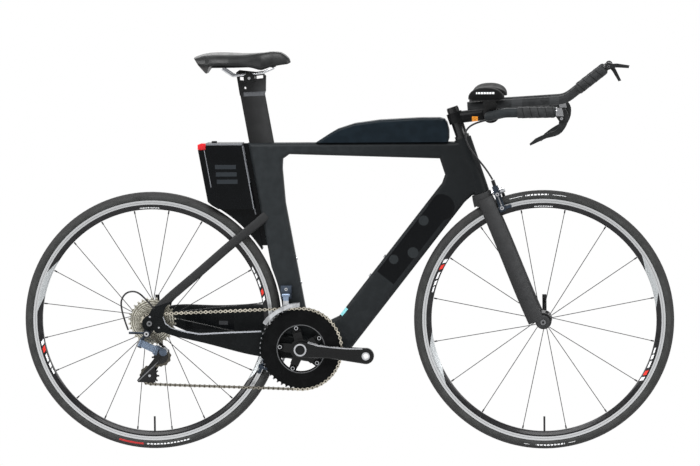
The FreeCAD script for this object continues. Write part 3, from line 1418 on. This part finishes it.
def front_mech():
    face = -S.frame_width / 2
    block = box(-170, -142, -36, face - 0.05, 394, 428)
    lugs = [box(-170, -166.3, FM_PIN_Y - 4, -35, 400, 408), box(-145.7, -142, FM_PIN_Y - 4, -35, 400, 408)]
    pin = Part.makeCylinder(2, 27, V(-169.5, FM_PIN_Y, FM_PIN_Z), V(1, 0, 0))
    mount = block.fuse(lugs + [pin])
    keep(feature("front_mech_mount", mount), "front_mech_mount")
    ring = pitch_radius(S.big_ring_teeth) + 2.4
    outer = ring_sector(ring + 1.4, ring + 11.6, 91, 145, -55, 1.2)
    inner = ring_sector(ring + 3, ring + 12.6, 91, 145, -41.6, 1.2)
    bridge = ring_sector(ring + 9.6, ring + 11.6, 96, 108, -55, 14.5)
    eye = Part.makeCylinder(4.2, 19.8, V(-165.9, FM_PIN_Y, FM_PIN_Z), V(1, 0, 0))
    arm = box(-163, -149, FM_PIN_Y - 3, FM_PIN_Y + 1, S.bb_z + ring + 2.5, FM_PIN_Z)
    cage = outer.fuse([inner, bridge, eye, arm])
    cage = cage.cut(Part.makeCylinder(2.05, 40, V(-176, FM_PIN_Y, FM_PIN_Z), V(1, 0, 0)))
    keep(feature("front_mech_cage", cage.removeSplitter()), "front_mech_cage")


front_mech()


# Fork, headset stack, stem and bars

def fork():
    depth, slope = S.fork_blade_depth, S.fork_blade_angle - 90
    inner = S.front_hub_width / 2
    drop_y = -inner - FORK_DROP / 2
    leg = blade([
        (357, -19, 650, slope, depth, 18), (377.3, -32, 605.3, slope, depth, 16),
        (459, -50, 404.3, slope, depth, 12), (FRONT_X - 18, drop_y, AXLE_Z + 1, slope, depth, FORK_DROP)])
    disc = Part.makeCylinder(16, FORK_DROP, V(FRONT_X, -inner, AXLE_Z), V(0, -1, 0))
    leg = leg.fuse(disc)
    wires = [slot_wire(steer_point(up, fore), STEER_FORE, V(0, 1, 0), deep, wide)
             for up, fore, deep, wide in ((-0.6, 0, 50, 44), (-14, -1, 53, 50), (-32, -2, 54, 51))]
    crown = loft(wires)
    steerer = Part.makeCylinder(S.steerer_radius, STACK_TOP - 2 + 6, steer_point(-6), STEER_UP)
    solid = crown.fuse(both_sides(leg) + [steerer])
    room = Part.makeCylinder(S.tyre_radius + 5, 38, V(FRONT_X, -19, AXLE_Z), V(0, 1, 0))
    hole = Part.makeCylinder(S.axle_radius + S.running_gap, 200, V(FRONT_X, -100, AXLE_Z), V(0, 1, 0))
    return solid.cut([room, hole, brake_bolt("front", 0.05)])


COVER_HEIGHT = 8
STACK_LOW = S.head_tube_length + 1.3
STEM_LOW = STACK_LOW + COVER_HEIGHT + 3 * (S.spacer_height + 0.05) + 0.1
STEM_TOP = STEM_LOW + S.stem_height
STACK_TOP = STEM_TOP + 0.1 + S.spacer_height
keep(feature("fork", fork()), "fork")


def stack_ring(radius, up, height, bore):
    ring = Part.makeCylinder(float(radius), float(height), steer_point(up), STEER_UP)
    if bore:
        ring = ring.cut(Part.makeCylinder(float(bore), float(height) + 4, steer_point(up - 2), STEER_UP))
    return ring


def headset_stack():
    bore = S.steerer_radius + S.running_gap
    rings = [stack_ring(S.spacer_radius + 3.4, STACK_LOW, COVER_HEIGHT, bore)]
    up = STACK_LOW + COVER_HEIGHT + 0.05
    for i in range(3):
        rings.append(stack_ring(S.spacer_radius, up, S.spacer_height, bore))
        up = up + S.spacer_height + 0.05
    rings.append(stack_ring(S.spacer_radius, STEM_TOP + 0.1, S.spacer_height, bore))
    rings.append(stack_ring(S.spacer_radius - 1, STACK_TOP + 0.2, 3, 0))
    return Part.makeCompound(rings)


keep(feature("headset_spacers", headset_stack()), "headset_spacers")
STEM_AXIS = steer_point(STEM_LOW + S.stem_height / 2)
BAR = V(STEM_AXIS.x + S.stem_reach, 0, STEM_AXIS.z + S.stem_rise)


def stem():
    outer = S.bar_clamp_radius + 7.4
    sleeve = stack_ring(20, STEM_LOW, S.stem_height, 0)
    arm = bar(STEM_AXIS, BAR, 15.5)
    clamp = y_rod(outer, BAR.x, BAR.z, -23, 23)
    whole = sleeve.fuse([arm, clamp])
    bore = stack_ring(S.steerer_radius + S.running_gap, STEM_LOW - 5, S.stem_height + 10, 0)
    below = stack_ring(S.spacer_radius + S.seat_gap, STEM_LOW - 30, 30, 0)
    whole = whole.cut([bore, below, y_rod(S.bar_clamp_radius + S.running_gap, BAR.x, BAR.z, -40, 40)])
    front = Part.makeBox(60, 60, 60, V(BAR.x + 1, -30, BAR.z - 30))
    back = Part.makeBox(140, 60, 160, V(BAR.x - 139.5, -30, BAR.z - 80))
    return Part.makeCompound([whole.common(back), whole.common(front)])


keep(feature("stem", stem()), "stem")
HORN_Y = S.bar_half_width


def base_bar():
    z0, z1 = BAR.z, S.bar_horn_z
    right = [(S.bar_horn_x, -HORN_Y, z1 + 1), (BAR.x + 42, -HORN_Y, z1), (BAR.x, -HORN_Y + 58, z0)]
    left = [(x, -y, z) for x, y, z in reversed(right)]
    tube = pipe(right + left, 20, S.bar_radius)
    return tube.fuse(y_rod(S.bar_clamp_radius, BAR.x, BAR.z, -42, 42))


keep(feature("base_bar", base_bar()), "base_bar")
EXT_REAR = V(317, 0, 889.5)
EXT_BEND = V(565, 0, 904)
EXT_TIP = V(668, 0, 983)
EXT_WAY = V(EXT_TIP - EXT_BEND).normalize()


def extension_points(y):
    return [(p.x, y, p.z) for p in (EXT_REAR, EXT_BEND, EXT_TIP)]


tubes = [pipe(extension_points(y), 60, S.extension_radius) for y in (S.extension_y, -S.extension_y)]
keep(feature("extensions", Part.makeCompound(tubes)), "extensions")


def sleeve(start, end, inner, thick):
    tube = bar(start, end, inner + thick)
    return tube.cut(bar(start - (end - start), end + (end - start), inner))


def bar_grips():
    pieces = []
    for side in (1, -1):
        y = HORN_Y * side
        low = V(S.bar_horn_x - 112, y, S.bar_horn_z + 0.2)
        high = V(S.bar_horn_x - 2, y, S.bar_horn_z + 1)
        pieces.append(sleeve(low, high, S.bar_radius + 0.2, S.grip_thick))
        y = S.extension_y * side
        tip = V(EXT_TIP.x, y, EXT_TIP.z)
        pieces.append(sleeve(tip - EXT_WAY * 88, tip - EXT_WAY * 2, S.extension_radius + 0.1,
                             S.grip_thick + 0.4))
    return Part.makeCompound(pieces)


keep(feature("bar_grips", bar_grips()), "bar_grips")


# Brake levers and shifters

LEVER_PIN = V(S.bar_horn_x + 15, 0, S.bar_horn_z - 15)
POD = V(EXT_TIP.x + 9, 0, EXT_TIP.z + 6.7)


def side_plate(outline, base, y, thick):
    """A plate from side view corners about a base point, centred on y."""
    corners = [V(base.x + dx, y - thick / 2.0, base.z + dz) for dx, dz in outline]
    return Part.Face(Part.makePolygon(corners + corners[:1])).extrude(V(0, thick, 0))


def lever_body(side):
    y = HORN_Y * side
    block = side_plate([(-14.8, 26), (0, 25.5), (5, 8), (6.5, 0), (4, -6), (-6, -7), (-14.8, 6)], LEVER_PIN,
                       y, 20)
    slot = side_plate([(-40, -40), (40, -40), (40, 40), (-8, 40), (-8, 9), (-40, 9)], LEVER_PIN, y, 9)
    plug = bar(V(S.bar_horn_x + 0.2, y, S.bar_horn_z + 1), V(S.bar_horn_x + 4, y, S.bar_horn_z + 1),
               S.bar_radius)
    pin = y_rod(2.5, LEVER_PIN.x, LEVER_PIN.z, y - 9, y + 9)
    return block.fuse(plug).cut(slot).fuse(pin)


def lever_blade(side, droop):
    """A curved blade on the lever pin, swung down from its stop by a droop in degrees."""
    y = HORN_Y * side
    blade_outline = [(-5, 5), (3, 8), (5.5, 20), (4, 28), (7.5, 28.5), (11, 22), (15.6, 12), (17, 3),
                     (15.6, -6.5),
                     (12, -17.5), (7, -26), (0.7, -34), (-6.7, -40), (-16, -44), (-26, -46.4), (-38, -49),
                     (-47.5, -53), (-57, -57.5), (-79, -67.5), (-81, -63), (-66, -50), (-53, -43.6),
                     (-43, -39.4),
                     (-31, -35.3), (-19.7, -32), (-13, -27.8), (-9.5, -21.3), (-7.6, -13)]
    eye = y_rod(6.5, LEVER_PIN.x, LEVER_PIN.z, y - 4.2, y + 4.2)
    arm = side_plate(blade_outline, LEVER_PIN, y, 8.4).fuse(eye)
    arm = arm.cut(y_rod(2.55, LEVER_PIN.x, LEVER_PIN.z, y - 20, y + 20)).removeSplitter()
    arm.rotate(V(LEVER_PIN.x, 0, LEVER_PIN.z), V(0, 1, 0), -droop)
    return arm


def shifter_pod(side):
    y = S.extension_y * side
    tip = V(EXT_TIP.x, y, EXT_TIP.z)
    plug = bar(tip + EXT_WAY * 0.3, tip + EXT_WAY * 7, 7.9)
    drum = y_rod(9, POD.x, POD.z, y - 8, y + 8)
    pin = y_rod(3, POD.x, POD.z, y, y + 14 * side)
    return plug.fuse([drum, pin])


def shift_lever(side, angle):
    y = (S.extension_y + 8.3) * side
    turn = FreeCAD.Rotation(V(0, 1, 0), -angle)
    near, far = min(y, y + 5 * side), max(y, y + 5 * side)
    outline = [(-4, -5), (20, -7), (49, -14), (52.5, -7.5), (22, 3), (-4, 6)]
    corners = [V(dx, near, dz) for dx, dz in outline]
    arm = Part.Face(Part.makePolygon(corners + corners[:1])).extrude(V(0, 5, 0))
    arm = arm.fuse(y_rod(8, 0, 0, near, far)).cut(y_rod(3.05, 0, 0, near - 5, far + 5))
    arm.Placement = FreeCAD.Placement(V(POD.x, 0, POD.z), turn)
    return arm


keep(feature("control_bodies", Part.makeCompound(
    [lever_body(-1), lever_body(1), shifter_pod(-1), shifter_pod(1)])), "control_bodies")
keep(feature("right_brake_lever", lever_blade(-1, 0)), "right_brake_lever")
keep(feature("left_brake_lever", lever_blade(1, 12)), "left_brake_lever")
keep(feature("right_shift_lever", shift_lever(-1, 10)), "right_shift_lever")
keep(feature("left_shift_lever", shift_lever(1, -46)), "left_shift_lever")


# Arm rests

PAD_LOW = 910.4
PAD_X = 367


def armrest_bracket(side):
    y_in, y_out = S.extension_y - 13, S.pad_y + 10
    cup_in, cup_out = S.pad_y - S.pad_width / 2 + 6, S.pad_y + S.pad_width / 2 - 6
    block = box(PAD_X - 9, PAD_X + 24, y_in, S.extension_y + 13, BAR.z - 2, PAD_LOW - 3.6)
    riser = box(PAD_X - 9, PAD_X + 24, S.extension_y + 11, y_out, PAD_LOW - 16, PAD_LOW - 3.6)
    cup = box(PAD_X - S.pad_length / 2 + 6, PAD_X + S.pad_length / 2 - 6, cup_in, cup_out, PAD_LOW - 4,
              PAD_LOW - 0.3)
    solid = block.fuse([riser, cup])
    room = pipe(extension_points(S.extension_y), 60, S.extension_radius + S.running_gap)
    bar_room = y_rod(S.bar_radius + S.running_gap, BAR.x, BAR.z, 0, 200)
    solid = solid.cut([room, bar_room])
    if side < 0:
        solid = solid.mirror(V(0, 0, 0), V(0, 1, 0))
    return solid


def armrest_pad(side):
    half = S.pad_width / 2
    spots = [(-0.5, 0.82, 3, 8), (-0.36, 0.96, 8, 19), (-0.08, 1, 11, 27.5), (0.22, 0.98, 10, 27.5),
             (0.4, 0.9, 7, 20),
             (0.5, 0.78, 3, 9)]
    return crowned([(PAD_X + S.pad_length * share, half * w, PAD_LOW, PAD_LOW + low, PAD_LOW + top,
                     S.pad_y * side)
                    for share, w, low, top in spots])


keep(feature("armrest_brackets", Part.makeCompound([armrest_bracket(1), armrest_bracket(-1)])),
     "armrest_brackets")
keep(feature("armrest_pads", Part.makeCompound([armrest_pad(1), armrest_pad(-1)])), "armrest_pads")


# Front brake housing, from under the bar to the barrel on the caliper

barrel_top = brake_point("front", -(S.rim_width / 2 + S.pad_gap + 5.6), 386, -7)
brake_route = [(BAR.x - 5, -46, BAR.z - 13.6), (332, -34, 846), (307, -28, 823), (312, -28, 797),
               (325, -28, 772),
               (366, -26, 722), (barrel_top.x, barrel_top.y, barrel_top.z)]
keep(feature("front_brake_housing", pipe(brake_route, 12, 2.4)), "front_brake_housing")


# Checks and files

doc.recompute()
os.makedirs("parts", exist_ok=True)
for node in NODES:
    bad = [state for state in node.State if state in ("Invalid", "Error")]
    if bad or node.Shape.isNull() or not node.Shape.isValid():
        raise RuntimeError("bad piece: %s %s" % (node.Label, node.State))
    node.Shape.exportStep("parts/%s.step" % node.Label)
    print(node.Label, len(node.Shape.Solids), round(node.Shape.Volume / 1000, 1))
print("nodes", len(NODES))
